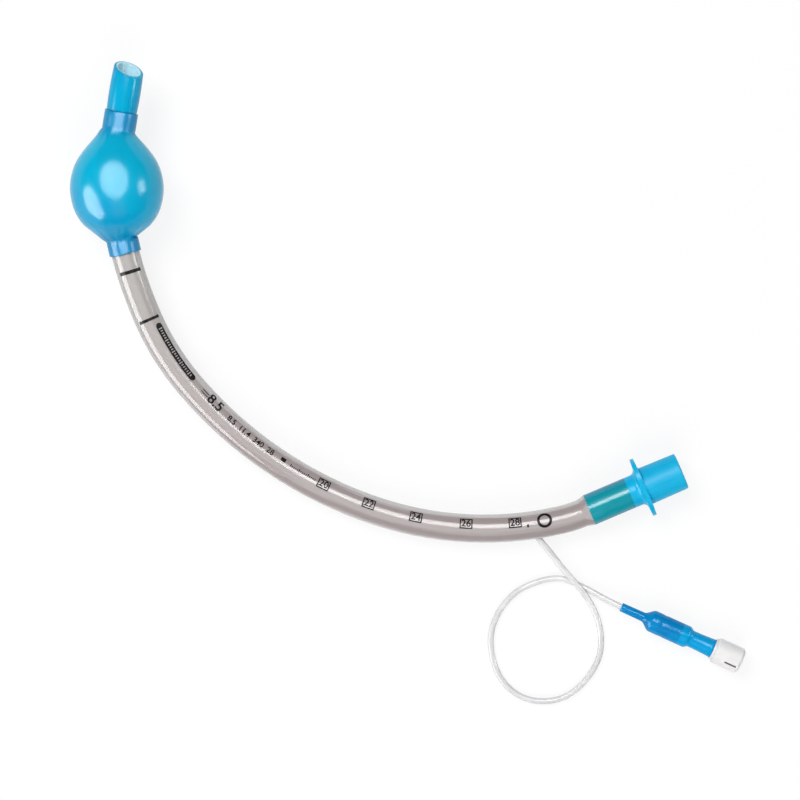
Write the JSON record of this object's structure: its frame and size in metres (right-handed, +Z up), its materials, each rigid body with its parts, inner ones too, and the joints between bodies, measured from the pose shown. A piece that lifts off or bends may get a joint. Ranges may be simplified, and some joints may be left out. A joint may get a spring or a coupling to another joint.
{
  "type": "endotracheal tube",
  "caption": "Curved clear breathing tube with a bevelled soft tip, an inflated cuff, a winged machine-end cone and an inflation line that ends in a pilot balloon and a sprung valve.",
  "frame": {"origin": "centre of the bounding box of the tube, tip, cuff and connector, on the table that the part lies on", "axes": "+Z up from the table, +X towards the machine end, +Y from the bend towards the bevelled tip, as in the picture"},
  "size_m": [0.2718, 0.259, 0.0374],
  "materials": {
    "tube_clear": "glossy, see-through",
    "tip_blue": "satin soft plastic",
    "cuff_blue": "glossy thin film",
    "connector_blue": "satin moulded plastic",
    "line_clear": "glossy, milky",
    "pilot_blue": "glossy thin film",
    "valve_clear": "clear moulded plastic",
    "valve_white": "satin moulded plastic",
    "plunger_white": "moulded plastic",
    "seal_rubber": "matt",
    "spring_steel": "bright wire"
  },
  "bodies": {
    "airway": {"tube": "tube_clear", "soft_tip": "tip_blue", "cuff": "cuff_blue", "connector": "connector_blue", "inflation_line": "line_clear", "pilot_balloon": "pilot_blue", "valve_body": "valve_clear", "valve_cap": "valve_white", "valve_spring": "spring_steel"},
    "plunger": {"valve_plunger": "plunger_white", "valve_seal": "seal_rubber"}
  },
  "joints": [
    {"name": "valve_press", "type": "slide", "parent": "airway", "child": "plunger", "axis": [-0.9103, 0.4129, -0.0284], "range_m": [0, 0.0016], "stiffness_N_per_m": 150, "springref_m": -0.0004, "deforming": ["valve_spring"]}
  ]
}
